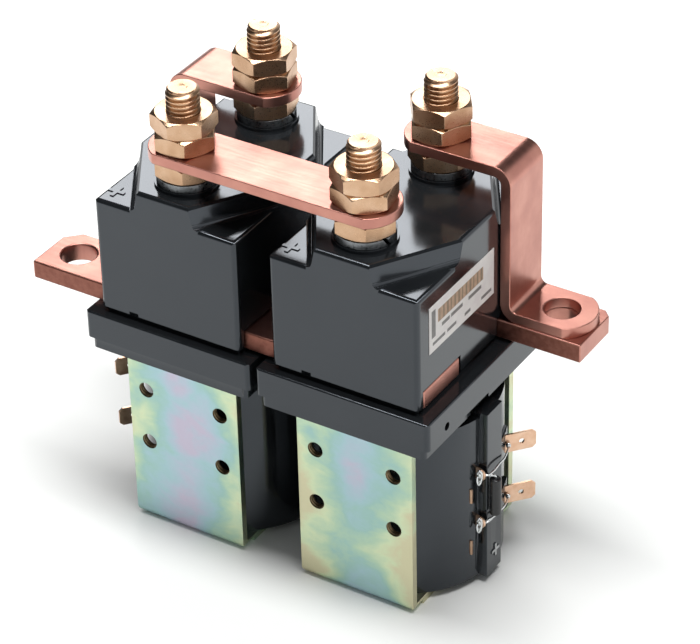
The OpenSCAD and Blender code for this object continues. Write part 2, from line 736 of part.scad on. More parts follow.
leg_gap = 0.3;
leg_x = cover_x / 2 + leg_gap + strap_t;
bend_in = 2.2;

// Side view of a stepped strap: top leg, bend, upright leg, bend, foot
module bracket_side() {
  bend_out = bend_in + strap_t;
  z1 = strap_z + strap_t;
  square_top = leg_x - bend_out;
  translate([0, strap_z]) square([square_top, strap_t]);
  translate([leg_x - strap_t, bar_z1 + bend_out]) square([strap_t, z1 - bar_z1 - 2 * bend_out]);
  translate([leg_x - strap_t + bend_out, bar_z1]) square([foot_reach - leg_x + strap_t - bend_out, strap_t]);
  translate([square_top, z1 - bend_out]) intersection() {
    difference() {
      circle(bend_out);
      circle(bend_in);
    }
    square(bend_out + 1);
  }
  translate([leg_x - strap_t + bend_out, bar_z1 + bend_out]) rotate(180) intersection() {
    difference() {
      circle(bend_out);
      circle(bend_in);
    }
    square(bend_out + 1);
  }
}

module bracket_shape() {
  translate([0, stud_y, 0]) difference() {
    union() {
      rotate([90, 0, 0]) linear_extrude(strap_w, center = true) bracket_side();
      translate([0, 0, strap_z]) linear_extrude(strap_t) strap_end(-1);
      translate([foot_reach, 0, bar_z1]) linear_extrude(strap_t) strap_end(1);
    }
    translate([0, 0, strap_z - 1]) cylinder(r = stud_d / 2 + 0.25, h = strap_t + 2);
    translate([foot_reach, 0, bar_z1 - 1]) cylinder(r = cable_hole_d / 2, h = strap_t + 2);
  }
}

label_y0 = -28;
label_len = 36.3;
label_z0 = tray_z1 + 17.9;
label_h = 15.4;
label_t = 0.15;

module label_shape() {
  translate([unit_pitch / 2 + cover_x / 2, label_y0, label_z0]) cube([label_t, label_len, label_h]);
}

BLACK = "#26282A";
STEEL = "#A9C4BE";
COPPER = "#C98A7C";
BRASS = "#C8A878";

module left_cover() color(BLACK) at_unit(-1) cover_shape();
module right_cover() color(BLACK) at_unit(1) cover_shape();
module left_tray() color(BLACK) coil_side(-1) tray_shape();
module right_tray() color(BLACK) coil_side(1) tray_shape();
module left_yoke() color(STEEL) at_unit(-1) yoke_shape();
module right_yoke() color(STEEL) at_unit(1) yoke_shape();
module left_pole_plate() color(STEEL) at_unit(-1) pole_plate_shape();
module right_pole_plate() color(STEEL) at_unit(1) pole_plate_shape();
module left_pole_core() color(STEEL) at_unit(-1) pole_core_shape();
module right_pole_core() color(STEEL) at_unit(1) pole_core_shape();
module left_guide_tube() color(BRASS) at_unit(-1) guide_tube_shape();
module right_guide_tube() color(BRASS) at_unit(1) guide_tube_shape();
module left_bobbin() color("#3A3A38") at_unit(-1) bobbin_shape();
module right_bobbin() color("#3A3A38") at_unit(1) bobbin_shape();
module left_winding() color("#B5652E") at_unit(-1) winding_shape();
module right_winding() color("#B5652E") at_unit(1) winding_shape();
module left_coil_jacket() color(BLACK) coil_side(-1) coil_jacket_shape();
module right_coil_jacket() color(BLACK) coil_side(1) coil_jacket_shape();
module left_coil_terminals() color(BRASS) coil_side(-1) coil_terminals_shape();
module right_coil_terminals() color(BRASS) coil_side(1) coil_terminals_shape();
module left_suppressor() color("#1B1B1D") coil_side(-1) suppressor_shape();
module right_suppressor() color("#1B1B1D") coil_side(1) suppressor_shape();
module left_plunger() color("#9AA0A4") at_unit(-1) plunger_shape();
module right_plunger() color("#9AA0A4") at_unit(1) plunger_shape();
module left_push_rod() color("#B9BDC0") at_unit(-1) push_rod_shape();
module right_push_rod() color("#B9BDC0") at_unit(1) push_rod_shape();
module left_carrier() color("#E4DFD0") at_unit(-1) carrier_shape();
module right_carrier() color("#E4DFD0") at_unit(1) carrier_shape();
module left_bridge() color(COPPER) at_unit(-1) bridge_shape();
module right_bridge() color(COPPER) at_unit(1) bridge_shape();
module left_bridge_tips() color("#D8D8D2") at_unit(-1) bridge_tips_shape();
module right_bridge_tips() color("#D8D8D2") at_unit(1) bridge_tips_shape();
module left_contact_spring() color("#A7ABAE") at_unit(-1) contact_spring_shape();
module right_contact_spring() color("#A7ABAE") at_unit(1) contact_spring_shape();
module left_top_washer() color("#E4DFD0") at_unit(-1) top_washer_shape();
module right_top_washer() color("#E4DFD0") at_unit(1) top_washer_shape();
module left_return_spring() color("#A7ABAE") at_unit(-1) return_spring_shape();
module right_return_spring() color("#A7ABAE") at_unit(1) return_spring_shape();
module left_front_stud() color(BRASS) at_unit(-1) stud_shape(-1);
module right_front_stud() color(BRASS) at_unit(1) stud_shape(-1);
module left_back_stud() color(BRASS) at_unit(-1) stud_shape(1);
module right_back_stud() color(BRASS) at_unit(1) stud_shape(1);
module fixed_tips() color("#D8D8D2") for (s = [-1, 1]) at_unit(s) fixed_tips_shape();
module blowout_magnets() color("#4A4644") for (s = [-1, 1]) at_unit(s) magnets_shape();
module tray_screws() color("#B9BDC0") for (s = [-1, 1]) at_unit(s) tray_screws_shape();
module bar_screws() color("#B9BDC0") for (s = [-1, 1]) at_unit(s) bar_screws_shape();
washer_turns = [100, 5, -15, 150];
module spring_washers() color("#8D8F90")
  for (i = [0:3]) at_stud(i) translate([0, 0, collar_z]) spring_washer_shape(washer_turns[i]);
module under_nuts() color(BRASS) nut_set(under_z, [57, 42, 2, 29]);
module clamp_nuts() color(BRASS) nut_set(clamp_z, [3, 45, 41, 1]);
module lock_nuts() color(BRASS) nut_set(lock_z, [35, 44, 26, 6]);
module front_bar() color(COPPER) front_bar_shape();
module left_back_bar() color(COPPER) back_bar_shape(-1);
module right_back_bar() color(COPPER) back_bar_shape(1);
module link_bar() color(COPPER) link_bar_shape();
module left_bracket() color(COPPER) at_unit(-1) mirror([1, 0, 0]) bracket_shape();
module right_bracket() color(COPPER) at_unit(1) bracket_shape();
module label() color("#E9E7E0") label_shape();

left_cover();
right_cover();
left_tray();
right_tray();
left_yoke();
right_yoke();
left_pole_plate();
right_pole_plate();
left_pole_core();
right_pole_core();
left_guide_tube();
right_guide_tube();
left_bobbin();
right_bobbin();
left_winding();
right_winding();
left_coil_jacket();
right_coil_jacket();
left_coil_terminals();
right_coil_terminals();
left_suppressor();
right_suppressor();
left_plunger();
right_plunger();
left_push_rod();
right_push_rod();
left_carrier();
right_carrier();
left_bridge();
right_bridge();
left_bridge_tips();
right_bridge_tips();
left_contact_spring();
right_contact_spring();
left_top_washer();
right_top_washer();
left_return_spring();
right_return_spring();
left_front_stud();
right_front_stud();
left_back_stud();
right_back_stud();
fixed_tips();
blowout_magnets();
tray_screws();
bar_screws();
spring_washers();
under_nuts();
clamp_nuts();
lock_nuts();
front_bar();
left_back_bar();
right_back_bar();
link_bar();
left_bracket();
right_bracket();
label();
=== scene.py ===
# %% [markdown]
# # A pair of changeover contactors
# Two solenoid switches stand side by side. Each has a coil in a plated steel frame, a black moulded
# housing on top of it, and brass studs that copper straps tie together. The CAD model holds every piece in
# its true place. This lesson gives the pieces what a CAD model leaves out: softened edges, screw threads,
# solder and finishes.

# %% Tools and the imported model
import json
import math

import bmesh
import bpy
from mathutils import Matrix, Vector


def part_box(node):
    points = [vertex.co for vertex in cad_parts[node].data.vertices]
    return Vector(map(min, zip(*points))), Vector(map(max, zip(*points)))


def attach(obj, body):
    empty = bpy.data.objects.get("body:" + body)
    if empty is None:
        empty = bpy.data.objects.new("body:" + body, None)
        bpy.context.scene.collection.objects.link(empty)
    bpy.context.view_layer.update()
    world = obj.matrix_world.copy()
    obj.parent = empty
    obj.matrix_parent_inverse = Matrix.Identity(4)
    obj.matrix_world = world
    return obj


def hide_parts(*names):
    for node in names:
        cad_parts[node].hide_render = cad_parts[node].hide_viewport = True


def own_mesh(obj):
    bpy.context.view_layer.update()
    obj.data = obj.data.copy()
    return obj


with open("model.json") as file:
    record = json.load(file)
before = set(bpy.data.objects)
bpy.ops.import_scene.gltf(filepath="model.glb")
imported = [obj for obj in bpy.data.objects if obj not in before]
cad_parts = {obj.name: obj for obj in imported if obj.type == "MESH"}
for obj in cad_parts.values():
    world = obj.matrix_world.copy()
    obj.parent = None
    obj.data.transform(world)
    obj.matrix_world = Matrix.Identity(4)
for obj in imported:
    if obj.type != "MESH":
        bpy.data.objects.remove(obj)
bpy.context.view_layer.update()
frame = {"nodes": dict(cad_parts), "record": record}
MM = 0.001
# From the middle of the pair to the centre line of either unit, mm
UNIT_X = 30
print("CAD nodes:", len(frame["nodes"]))

# %% [markdown]
# ## Camera
# A product photographer stands a little to the right and looks down on the pair with a long lens, so that
# upright edges stay nearly parallel. The place and the lens below were found by fitting the model's
# corners to those in the photograph. A camera looks along its own -Z, so its three axes are written out as
# a matrix.

# %% Camera
AZIMUTH, ELEVATION, ROLL = math.radians(32.47), math.radians(34.13), math.radians(-1.41)
TARGET = Vector((10.82, 0, 73.95)) * MM
DISTANCE = 920.41 * MM

view = Vector((-math.sin(AZIMUTH) * math.cos(ELEVATION), math.cos(AZIMUTH) * math.cos(ELEVATION),
               -math.sin(ELEVATION)))
level_right = view.cross(Vector((0, 0, 1))).normalized()
level_up = level_right.cross(view)
right = level_right * math.cos(ROLL) + level_up * math.sin(ROLL)
up = level_up * math.cos(ROLL) - level_right * math.sin(ROLL)

lens = bpy.data.cameras.new("photo_camera")
lens.lens = 160.5
lens.sensor_width = 36
lens.sensor_fit = "HORIZONTAL"
lens.clip_start = 0.05
camera = bpy.data.objects.new("photo_camera", lens)
bpy.context.scene.collection.objects.link(camera)
axes = Matrix((right, up, -view)).transposed().to_4x4()
camera.matrix_world = Matrix.Translation(TARGET - view * DISTANCE) @ axes
bpy.context.scene.camera = camera
print("camera at mm:", [round(v / MM) for v in camera.location])

# %% [markdown]
# ## Colours and nodes
# Colours are written as they look on a screen, in sRGB hex. The renderer counts in linear light, so one
# function turns them. One more function adds a shader node with its settings and links, and every material
# is made with it. On most surfaces one pattern moves the gloss and raises the surface, which is a third
# function.

# %% Helpers for colours and nodes
def linear(hex_colour):
    """An sRGB hex colour as linear RGBA."""
    parts = [int(hex_colour[i:i + 2], 16) / 255 for i in (1, 3, 5)]
    return [p / 12.92 if p <= 0.04045 else ((p + 0.055) / 1.055) ** 2.4 for p in parts] + [1.0]


def add(tree, kind, settings=None, links=None, stops=()):
    """Adds a node.

    Settings name or number its sockets, or name its properties. Links name or number its sockets. Stops are
    the (position, hex colour) points of a ramp.
    """
    node = tree.nodes.new(kind)
    for name, value in (settings or {}).items():
        if isinstance(name, int) or name in node.inputs:
            node.inputs[name].default_value = value
        else:
            setattr(node, name, value)
    for name, source in (links or {}).items():
        tree.links.new(source, node.inputs[name])
    for i, (position, colour) in enumerate(stops):
        points = node.color_ramp.elements
        point = points[i] if i < len(points) else points.new(position)
        point.position = position
        point.color = linear(colour)
    return node


def new_material(name):
    """A material with its tree emptied, its Principled shader and its object coordinates."""
    material = bpy.data.materials.new(name)
    material.use_nodes = True
    tree = material.node_tree
    tree.nodes.clear()
    shader = add(tree, "ShaderNodeBsdfPrincipled")
    add(tree, "ShaderNodeOutputMaterial", links={"Surface": shader.outputs["BSDF"]})
    place = add(tree, "ShaderNodeTexCoord").outputs["Object"]
    return material, tree, shader, place


def per_mm(size_mm):
    """The Scale of a texture whose features are about this many millimetres across."""
    return 1.0 / (size_mm * MM)


def gloss_and_grain(tree, shader, gloss_pattern, roughness, grain_pattern, strength, height_mm):
    """Lets one pattern move the roughness between two values, and another raise the surface a little."""
    rough = add(tree, "ShaderNodeMapRange",
                {"From Min": 0.3, "From Max": 0.7, "To Min": roughness[0], "To Max": roughness[1]},
                {"Value": gloss_pattern})
    tree.links.new(rough.outputs["Result"], shader.inputs["Roughness"])
    bump = add(tree, "ShaderNodeBump", {"Strength": strength, "Distance": height_mm * MM},
               {"Height": grain_pattern})
    tree.links.new(bump.outputs["Normal"], shader.inputs["Normal"])


print("a mid grey in linear light:", [round(v, 3) for v in linear("#808080")])

# %% [markdown]
# ## Floor and background
# The pair stands on a white paper sweep in a small photo studio with white walls and a dark ceiling. Close
# to the object the paper is only as bright as its light makes it, so it keeps the shadows. Further off it
# is lifted to white for camera, mirror and glass rays. The world shows the walls and ceiling to the same
# rays, and gives every other ray an even, weak light.

# %% Floor and world
def seen_directly(tree):
    """1 for camera, mirror and glass rays, 0 for the rays that only carry light."""
    rays = add(tree, "ShaderNodeLightPath")
    direct = add(tree, "ShaderNodeMath", {"operation": "MAXIMUM"},
                 {0: rays.outputs["Is Camera Ray"], 1: rays.outputs["Is Glossy Ray"]})
    direct = add(tree, "ShaderNodeMath", {"operation": "MAXIMUM"},
                 {0: direct.outputs[0], 1: rays.outputs["Is Transmission Ray"]})
    return direct.outputs[0]


FLOOR_HALF_WIDTH = 3.0
sweep = bpy.data.meshes.new("floor")
bm = bmesh.new()
bmesh.ops.create_grid(bm, x_segments=1, y_segments=1, size=FLOOR_HALF_WIDTH)
bm.to_mesh(sweep)
bm.free()
floor = bpy.data.objects.new("floor", sweep)
bpy.context.scene.collection.objects.link(floor)

paper, tree, shader, place = new_material("white_paper_sweep")
shader.inputs["Base Color"].default_value = linear("#EDEEEC")
shader.inputs["Roughness"].default_value = 0.9
shader.inputs["Specular IOR Level"].default_value = 0.1
shader.inputs["Emission Color"].default_value = linear("#FFFFFF")
distance = add(tree, "ShaderNodeVectorMath", {"operation": "LENGTH"}, {0: place})
fade = add(tree, "ShaderNodeMapRange", {"From Min": 0.07, "From Max": 0.45, "To Min": 0.0, "To Max": 0.7},
           {"Value": distance.outputs["Value"]})
lift = add(tree, "ShaderNodeMath", {"operation": "MULTIPLY"},
           {0: seen_directly(tree), 1: fade.outputs["Result"]})
tree.links.new(lift.outputs[0], shader.inputs["Emission Strength"])
sweep.materials.append(paper)

world = bpy.data.worlds.new("studio")
bpy.context.scene.world = world
world.use_nodes = True
tree = world.node_tree
tree.nodes.clear()
direction = add(tree, "ShaderNodeTexCoord").outputs["Generated"]
split = add(tree, "ShaderNodeSeparateXYZ", links={"Vector": direction})
# The white walls reach higher on the right, and the dark ceiling hangs over the left
lean = add(tree, "ShaderNodeMath", {"operation": "MULTIPLY", 1: -0.45}, {0: split.outputs["X"]})
height = add(tree, "ShaderNodeMath", {"operation": "ADD"}, {0: split.outputs["Z"], 1: lean.outputs[0]})
room = add(tree, "ShaderNodeValToRGB", links={"Fac": height.outputs[0]},
           stops=[(0.0, "#FFFFFF"), (0.25, "#FFFFFF"), (0.42, "#5E6062"), (0.60, "#2C2E30")])
walls = add(tree, "ShaderNodeBackground", {"Strength": 1.0}, {"Color": room.outputs["Color"]})
soft = add(tree, "ShaderNodeBackground", {"Color": linear("#F4F7FA"), "Strength": 0.26})
both = add(tree, "ShaderNodeMixShader",
           links={0: seen_directly(tree), 1: soft.outputs[0], 2: walls.outputs[0]})
add(tree, "ShaderNodeOutputWorld", links={"Surface": both.outputs[0]})
print("floor half width in m:", FLOOR_HALF_WIDTH)

# %% [markdown]
# ## Lamps
# A wide, shallow soft box hangs above the pair. It lights the tops, throws a soft shadow, and shows in the
# round rims as thin bright lines. A small box far behind on the left lays a sheen on the decks and the
# bars' tops. Both are weak enough for a colour to render about as it is written.

# %% Lamps
def soft_lamp(name, place_mm, aim_mm, width_mm, depth_mm, watts):
    """A soft box that faces a point; all places are in mm."""
    lamp = bpy.data.lights.new(name, "AREA")
    lamp.shape = "RECTANGLE"
    lamp.size, lamp.size_y = width_mm * MM, depth_mm * MM
    lamp.energy = watts
    box = bpy.data.objects.new(name, lamp)
    bpy.context.scene.collection.objects.link(box)
    box.location = Vector(place_mm) * MM
    box.rotation_euler = (Vector(aim_mm) - Vector(place_mm)).to_track_quat("-Z", "Y").to_euler()


soft_lamp("key_box_above", (30, -65, 1100), (30, -65, 0), 1000, 320, 13.5)
soft_lamp("window_box_behind", (-540, 780, 690), (0, 0, 125), 400, 400, 3.0)

# %% [markdown]
# ## Black moulded housing
# The covers, trays and coil jackets are glass-filled nylon, moulded in a spark-eroded tool. The plastic is
# nearly black, with a satin skin that mirrors the bright floor softly, and a fine grain that breaks the
# mirror up.

# %% Glass-filled nylon, moulded
glass_filled_nylon, tree, shader, place = new_material("glass_filled_nylon_moulded")
cloud = add(tree, "ShaderNodeTexNoise", {"Scale": per_mm(14), "Detail": 3.0}, {"Vector": place})
tone = add(tree, "ShaderNodeValToRGB", links={"Fac": cloud.outputs["Fac"]},
           stops=[(0.3, "#151719"), (0.7, "#1C1E20")])
tree.links.new(tone.outputs["Color"], shader.inputs["Base Color"])
shader.inputs["Specular IOR Level"].default_value = 0.68
shader.inputs["Specular Tint"].default_value = linear("#EAF3FF")
grain = add(tree, "ShaderNodeTexNoise", {"Scale": per_mm(0.35), "Detail": 2.0}, {"Vector": place})
gloss_and_grain(tree, shader, cloud.outputs["Fac"], (0.10, 0.17), grain.outputs["Fac"], 0.1, 0.03)
print("made", glass_filled_nylon.name)

# %% [markdown]
# ## Passivated zinc on the steel frames
# The frames are steel sheet, zinc plated and dipped in a clear blue passivate. The film is thinner than a
# wavelength in places, so it plays in pale lilac, blue, teal, yellow-green and peach. It makes soft clouds
# about as wide as a plate, with smaller ones of about 9 mm in them, and its tint is made paler and
# yellower towards the plates' edges.

# %% Zinc plating with its passivate colours
zinc_passivated, tree, shader, place = new_material("zinc_plated_steel_passivated")
split = add(tree, "ShaderNodeSeparateXYZ", links={"Vector": place})
side = add(tree, "ShaderNodeMath", {"operation": "ABSOLUTE"}, {0: split.outputs["X"]})
# Distance from the middle line of either frame, in metres; its plates' edges lie at 0.0195
across = add(tree, "ShaderNodeMath", {"operation": "SUBTRACT", 1: UNIT_X * MM}, {0: side.outputs[0]})
across = add(tree, "ShaderNodeMath", {"operation": "ABSOLUTE"}, {0: across.outputs[0]})
# The film value rises towards the plates' edges, so the tint there is paler and yellower
edge = add(tree, "ShaderNodeMapRange",
           {"From Min": 0.002, "From Max": 0.0195, "To Min": -0.12, "To Max": 0.22},
           {"Value": across.outputs[0]})
cloud = add(tree, "ShaderNodeTexNoise",
            {"Scale": per_mm(34), "Detail": 3.0, "Roughness": 0.5, "Distortion": 0.7}, {"Vector": place})
film = add(tree, "ShaderNodeMath", {"operation": "ADD"},
           {0: cloud.outputs["Fac"], 1: edge.outputs["Result"]})
# Smaller clouds within the large ones, drawn out along X as the bath ran off
run = add(tree, "ShaderNodeMapping", {"Scale": (0.55, 1.0, 1.0)}, {"Vector": place})
small = add(tree, "ShaderNodeTexNoise",
            {"Scale": per_mm(9), "Detail": 5.0, "Roughness": 0.6, "Distortion": 0.5},
            {"Vector": run.outputs[0]})
ripple = add(tree, "ShaderNodeMapRange",
             {"From Min": 0.25, "From Max": 0.75, "To Min": -0.12, "To Max": 0.12},
             {"Value": small.outputs["Fac"]})
film = add(tree, "ShaderNodeMath", {"operation": "ADD"}, {0: film.outputs[0], 1: ripple.outputs["Result"]})
# The right frame came from another corner of the bath, so its film is a little thicker
thicker = add(tree, "ShaderNodeMapRange",
              {"From Min": -0.02, "From Max": 0.02, "To Min": 0.0, "To Max": 0.12},
              {"Value": split.outputs["X"]})
film = add(tree, "ShaderNodeMath", {"operation": "ADD"}, {0: film.outputs[0], 1: thicker.outputs["Result"]})
tint = add(tree, "ShaderNodeValToRGB", links={"Fac": film.outputs[0]},
           stops=[(0.28, "#BAB3C4"), (0.38, "#ADBBC8"), (0.47, "#A1BFC5"), (0.56, "#9BBDB6"),
                  (0.66, "#B0C9B0"), (0.76, "#CAD6B3"), (0.86, "#CAC5A4")])
tree.links.new(tint.outputs["Color"], shader.inputs["Base Color"])
shader.inputs["Metallic"].default_value = 1.0
mottle = add(tree, "ShaderNodeTexNoise", {"Scale": per_mm(1.6), "Detail": 4.0}, {"Vector": place})
gloss_and_grain(tree, shader, mottle.outputs["Fac"], (0.32, 0.42), mottle.outputs["Fac"], 0.08, 0.04)
print("made", zinc_passivated.name)

# %% [markdown]
# ## Copper straps and bars
# The straps and bars are cut from rolled electrical copper and tumbled. The metal is pink rather than
# orange, satin, and a little duller where it has been handled. Rolling leaves faint lines along the strip,
# which runs in X on the level parts and in Z on the legs, so the lines are only narrow in Y.

# %% Rolled copper
rolled_copper, tree, shader, place = new_material("rolled_copper_satin")
patch = add(tree, "ShaderNodeTexNoise", {"Scale": per_mm(9), "Detail": 4.0}, {"Vector": place})
tone = add(tree, "ShaderNodeValToRGB", links={"Fac": patch.outputs["Fac"]},
           stops=[(0.3, "#AA756A"), (0.5, "#B47E71"), (0.7, "#BE897B")])
tree.links.new(tone.outputs["Color"], shader.inputs["Base Color"])
shader.inputs["Metallic"].default_value = 1.0
stretch = add(tree, "ShaderNodeMapping", {"Scale": (0.05, 1.0, 0.05)}, {"Vector": place})
lines = add(tree, "ShaderNodeTexNoise", {"Scale": per_mm(0.5), "Detail": 3.0},
            {"Vector": stretch.outputs[0]})
gloss_and_grain(tree, shader, lines.outputs["Fac"], (0.29, 0.37), lines.outputs["Fac"], 0.10, 0.03)
print("made", rolled_copper.name)

# %% [markdown]
# ## Brass studs, nuts and washers
# Studs and nuts are turned from free-cutting brass. It is pale gold, brighter than the copper, with slight
# brown tarnish in patches and fine tool marks.

# %% Turned brass
turned_brass, tree, shader, place = new_material("free_cutting_brass_turned")
patch = add(tree, "ShaderNodeTexNoise", {"Scale": per_mm(7), "Detail": 2.0}, {"Vector": place})
tone = add(tree, "ShaderNodeValToRGB", links={"Fac": patch.outputs["Fac"]},
           stops=[(0.3, "#AE8A6C"), (0.5, "#BC997B"), (0.7, "#C9A98D")])
tree.links.new(tone.outputs["Color"], shader.inputs["Base Color"])
shader.inputs["Metallic"].default_value = 1.0
marks = add(tree, "ShaderNodeTexNoise", {"Scale": per_mm(0.4), "Detail": 3.0}, {"Vector": place})
gloss_and_grain(tree, shader, marks.outputs["Fac"], (0.26, 0.34), marks.outputs["Fac"], 0.04, 0.01)
print("made", turned_brass.name)

# %% [markdown]
# ## Plainer finishes
# The rest is made the same way: a base colour that wanders a little, a roughness that wanders with it, and
# a bump that is too fine to count. A table holds what differs, with one line for each finish.

# %% Finishes from a table
# name: darker tone, lighter tone, metallic, lowest and highest roughness, size of the mottle in mm
PLAIN_FINISHES = {
    "spring_steel_oiled": ("#6E7072", "#8C8F91", 1.0, 0.25, 0.40, 0.8),  # grey, with a dull shine
    "soft_iron_turned": ("#8E9296", "#A6AAAD", 1.0, 0.28, 0.42, 0.6),  # the magnetic circuit's bare parts
    "cut_thread_steel": ("#6B5C45", "#8F7E62", 1.0, 0.30, 0.45, 0.6),  # tapped threads, brown, barely plated
    "machine_screw_zinc": ("#B4B8BA", "#CFD2D3", 1.0, 0.22, 0.34, 0.8),  # bright bought-in screws
    "fine_silver_contact": ("#CFCFCA", "#E4E4DF", 1.0, 0.35, 0.50, 0.5),  # matt silver contact tips
    "hard_ferrite": ("#3A3836", "#4C4947", 0.0, 0.60, 0.80, 0.6),  # ground magnets, dark and dull
    "natural_nylon": ("#DAD5C6", "#E6E2D5", 0.0, 0.40, 0.55, 2.0),  # cream insulating washers and bushes
    "grey_bobbin_nylon": ("#333331", "#40403D", 0.0, 0.45, 0.60, 2.0),  # the bobbin, matt and dark
    "enamelled_winding": ("#8E4A22", "#B96A34", 0.0, 0.20, 0.32, 0.9),  # varnished copper wire, amber brown
    "sheared_copper_side_painted_shade": ("#7A4C41", "#8F5F52", 1.0, 0.38, 0.50, 1.5),  # where strip was cut: dull, with a dark tone that is painted shade
    "tinned_brass_blade": ("#D2A98C", "#E2C0A6", 1.0, 0.28, 0.36, 2.5),  # push-on blades and solder tabs
    "tinned_wire_solder": ("#B9BCBD", "#DCDEDE", 1.0, 0.15, 0.30, 0.5),  # leads and solder, bright
    "diode_epoxy": ("#141416", "#1E1E21", 0.0, 0.18, 0.28, 1.0),  # the suppressor's glossy black case
    "white_label_film": ("#E2DCDA", "#EBE7E3", 0.0, 0.40, 0.50, 3.0),  # warm white film
    "grey_label_ink": ("#6A6868", "#85827F", 0.0, 0.40, 0.55, 0.8),  # thin grey print
    "pale_stamping_ink": ("#A9ABAB", "#C6C8C8", 0.0, 0.45, 0.60, 0.7),  # the marks on the terminal bars
    "tan_label_ink": ("#A98A6E", "#C4A68E", 0.0, 0.40, 0.55, 1.2),  # the printed band, patchy tan
    "dark_tan_label_ink": ("#7E6A54", "#94806A", 0.0, 0.40, 0.55, 1.0),  # darker stripes in the band
}


def plain_finish(name, dark, light, metallic, rough_low, rough_high, mottle_mm):
    """A finish whose tone and roughness wander between two values."""
    material, tree, shader, place = new_material(name)
    mottle = add(tree, "ShaderNodeTexNoise", {"Scale": per_mm(mottle_mm), "Detail": 3.0}, {"Vector": place})
    pattern = mottle.outputs["Fac"]
    tone = add(tree, "ShaderNodeValToRGB", links={"Fac": pattern}, stops=[(0.3, dark), (0.7, light)])
    tree.links.new(tone.outputs["Color"], shader.inputs["Base Color"])
    shader.inputs["Metallic"].default_value = metallic
    gloss_and_grain(tree, shader, pattern, (rough_low, rough_high), pattern, 0.1, 0.03)
    return material


finishes = {name: plain_finish(name, *values) for name, values in PLAIN_FINISHES.items()}
finishes["glass_filled_nylon_moulded"] = glass_filled_nylon
finishes["zinc_plated_steel_passivated"] = zinc_passivated
finishes["rolled_copper_satin"] = rolled_copper
finishes["free_cutting_brass_turned"] = turned_brass
print("finishes:", len(finishes))

# %% [markdown]
# ## Finishes on the CAD nodes
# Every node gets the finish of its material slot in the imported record, the hidden ones too, because they
# show when a piece is taken off. Pieces made below take their node's place and wear the same finish.

# %% Dress every node by its slot
FINISH_OF_SLOT = {
    "black_moulding": "glass_filled_nylon_moulded",
    "zinc_steel": "zinc_plated_steel_passivated",
    "plain_steel": "soft_iron_turned",
    "copper": "rolled_copper_satin",
    "winding_copper": "enamelled_winding",
    "brass": "free_cutting_brass_turned",
    "blade_brass": "tinned_brass_blade",
    "grey_steel": "spring_steel_oiled",
    "screw_zinc": "machine_screw_zinc",
    "silver_tip": "fine_silver_contact",
    "ferrite": "hard_ferrite",
    "nylon": "natural_nylon",
    "bobbin_plastic": "grey_bobbin_nylon",
    "suppressor_case": "diode_epoxy",
    "label_film": "white_label_film",
}
slot_of = {part["node"]: part["material_slot"] for part in frame["record"]["subparts"]}
for name, node in frame["nodes"].items():
    finish = finishes[FINISH_OF_SLOT[slot_of[name]]]
    node.data.materials.clear()
    node.data.materials.append(finish)
print("dressed", len(frame["nodes"]), "nodes")

# %% [markdown]
# ## Softened edges
# No real edge is knife sharp, and the thin bright line along an edge is what makes metal and plastic look
# real. A CAD mesh is loose triangles, so a copy is welded, its flat faces are joined, and its sharp edges
# are bevelled. Weighted normals then keep the broad faces flat and let only the bevels turn the light.

# %% A softened copy of a node
def finished_piece(bm, name, finish, body="housing", nodes=(), smooth_below=40):
    """Puts a bmesh on a new object with its finish and its body, and hides the nodes that it stands for."""
    mesh = bpy.data.meshes.new(name)
    bm.to_mesh(mesh)
    bm.free()
    mesh.polygons.foreach_set("use_smooth", [True] * len(mesh.polygons))
    mesh.set_sharp_from_angle(angle=math.radians(smooth_below))
    mesh.materials.append(finish)
    piece = bpy.data.objects.new(name, mesh)
    bpy.context.scene.collection.objects.link(piece)
    weigh = piece.modifiers.new("flat_faces_stay_flat", "WEIGHTED_NORMAL")
    weigh.keep_sharp = True
    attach(piece, body)
    if nodes:
        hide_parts(*nodes)
    return piece


def welded_copy(node):
    """A bmesh of a CAD node, welded, with its flat faces joined."""
    bm = bmesh.new()
    bm.from_mesh(frame["nodes"][node].data)
    bmesh.ops.remove_doubles(bm, verts=bm.verts, dist=0.000002)
    bmesh.ops.dissolve_limit(bm, angle_limit=math.radians(0.6), verts=bm.verts, edges=bm.edges)
    return bm


def sharp_edges(bm, angle=30):
    """The edges where two faces meet at more than an angle."""
    return [e for e in bm.edges if len(e.link_faces) == 2 and e.calc_face_angle() > math.radians(angle)]


def bevel(bm, edges, width_mm, segments=2):
    """Rounds edges by a width."""
    bmesh.ops.bevel(bm, geom=edges, offset=width_mm * MM, offset_type="OFFSET", segments=segments,
                    profile=0.5, affect="EDGES", clamp_overlap=False, material=-1)


def cut(bm, place, direction, trim=True, dist=0.0):
    """Cuts the mesh at a plane, and takes away what lies beyond it in the direction when it trims."""
    bmesh.ops.bisect_plane(bm, geom=bm.verts[:] + bm.edges[:] + bm.faces[:], plane_co=place,
                           plane_no=direction, clear_outer=trim, dist=dist)


def softened(node, width_mm, segments=2, keep=lambda edge: True):
    """Stands a copy of a node in its place, with the sharp edges bevelled that keep accepts."""
    bm = welded_copy(node)
    edges = [e for e in sharp_edges(bm) if keep(e)]
    bevel(bm, edges, width_mm, segments)
    finish = finishes[FINISH_OF_SLOT[slot_of[node]]]
    piece = finished_piece(bm, node + "_finished", finish, nodes=[node])
    print(node, "edges:", len(edges), "faces:", len(piece.data.polygons))
    return piece


loose = frame["nodes"]["front_bar"].data
welded = welded_copy("front_bar")
print("front bar, loose corners:", len(loose.vertices), "welded:", len(welded.verts))
welded.free()
